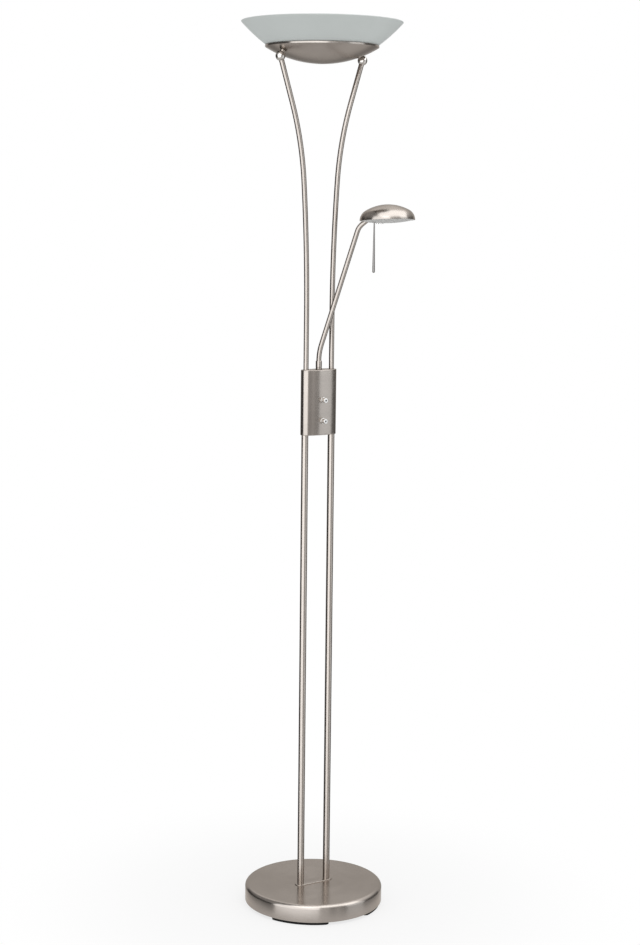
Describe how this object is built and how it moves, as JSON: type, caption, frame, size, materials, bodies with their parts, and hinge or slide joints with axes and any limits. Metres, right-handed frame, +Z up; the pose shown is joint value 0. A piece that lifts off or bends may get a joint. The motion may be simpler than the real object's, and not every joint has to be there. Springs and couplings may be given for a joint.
{
  "type": "torchiere floor lamp",
  "caption": "Tall uplighter floor lamp: round weighted base, twin poles bending out to a frosted glass bowl, oval control box with knobs, and a swinging reading arm with a domed head.",
  "frame": {"origin": "centre of the round base, on the floor under its foot pads", "axes": "+Z up; X runs through both poles; -Y is the front, the side with the control knobs"},
  "size_m": [0.319, 0.319, 1.8],
  "materials": {
    "satin_nickel": "satin",
    "bright_nickel": "polished",
    "plain_steel": "satin",
    "cast_iron": "matte",
    "black_steel": "matte",
    "black_rubber": "matte",
    "white_rubber": "matte",
    "black_plastic": "matte",
    "white_plastic": "matte",
    "white_ceramic": "matte",
    "brass": "satin",
    "white_enamel": "satin",
    "frosted_glass": "satin",
    "frosted_lens": "satin",
    "clear_glass": "gloss"
  },
  "bodies": {
    "stand": {"base_cover": "satin_nickel", "ballast_weight": "cast_iron", "bottom_plate": "black_steel", "bottom_screws": "plain_steel", "foot_pads": "black_rubber", "pole_foot_plate": "satin_nickel", "base_studs": "plain_steel", "base_washers": "plain_steel", "base_nuts": "plain_steel", "cable_grommet": "black_rubber", "lower_pole_left": "satin_nickel", "lower_pole_right": "satin_nickel", "lower_pole_top_studs": "plain_steel", "lower_box_nuts": "plain_steel", "box_bottom_cap": "satin_nickel", "box_top_cap": "satin_nickel", "box_shell": "satin_nickel", "box_chassis": "plain_steel", "upper_box_nuts": "plain_steel", "upper_dimmer": "black_plastic", "lower_dimmer": "black_plastic", "control_collars": "bright_nickel", "terminal_block": "white_plastic", "upper_pole_left": "satin_nickel", "upper_pole_right": "satin_nickel", "upper_pole_studs": "plain_steel", "knuckle_ball_left": "bright_nickel", "knuckle_ball_right": "bright_nickel", "ball_spacers": "bright_nickel", "bowl_screws": "plain_steel", "bowl_pan": "satin_nickel", "lamp_bracket": "plain_steel", "lampholders": "white_ceramic", "linear_lamp": "clear_glass", "glass_seat": "white_rubber", "glass_bowl": "frosted_glass", "lamp_reflector": "white_enamel", "arm_bush": "brass", "arm_stop_pins": "plain_steel"},
    "reading_arm": {"arm_tube": "satin_nickel", "arm_collar": "satin_nickel", "arm_friction_washer": "black_plastic", "arm_lock_ring": "plain_steel"},
    "head_swivel": {"swivel_block": "bright_nickel"},
    "reading_head": {"head_pivot_pin": "plain_steel", "head_bracket": "plain_steel", "head_shade": "satin_nickel", "head_lens": "frosted_lens", "lens_screws": "bright_nickel", "capsule_socket": "white_ceramic", "capsule_lamp": "clear_glass", "handle_rod": "bright_nickel"},
    "upper_control": {"upper_knob": "bright_nickel", "upper_knob_shaft": "plain_steel"},
    "lower_control": {"lower_knob": "bright_nickel", "lower_knob_shaft": "plain_steel"}
  },
  "joints": [
    {"name": "arm_swing", "type": "hinge", "parent": "stand", "child": "reading_arm", "pos_m": [0, 0, 1.11], "axis": [0, 0, 1], "range_deg": [-110, 20]},
    {"name": "head_roll", "type": "hinge", "parent": "reading_arm", "child": "head_swivel", "pos_m": [0.07297, -0.07297, 1.42188], "axis": [0.5417, -0.5417, 0.6428], "range_deg": [-30, 30]},
    {"name": "head_tilt", "type": "hinge", "parent": "head_swivel", "child": "reading_head", "pos_m": [0.07297, -0.07297, 1.42188], "axis": [-0.7378, -0.6728, 0.0548], "range_deg": [-30, 20]},
    {"name": "upper_knob_turn", "type": "hinge", "parent": "stand", "child": "upper_control", "pos_m": [0, -0.022, 1.055], "axis": [0, -1, 0], "range_deg": [0, 270]},
    {"name": "lower_knob_turn", "type": "hinge", "parent": "stand", "child": "lower_control", "pos_m": [0, -0.022, 1.013], "axis": [0, -1, 0], "range_deg": [0, 270]}
  ]
}
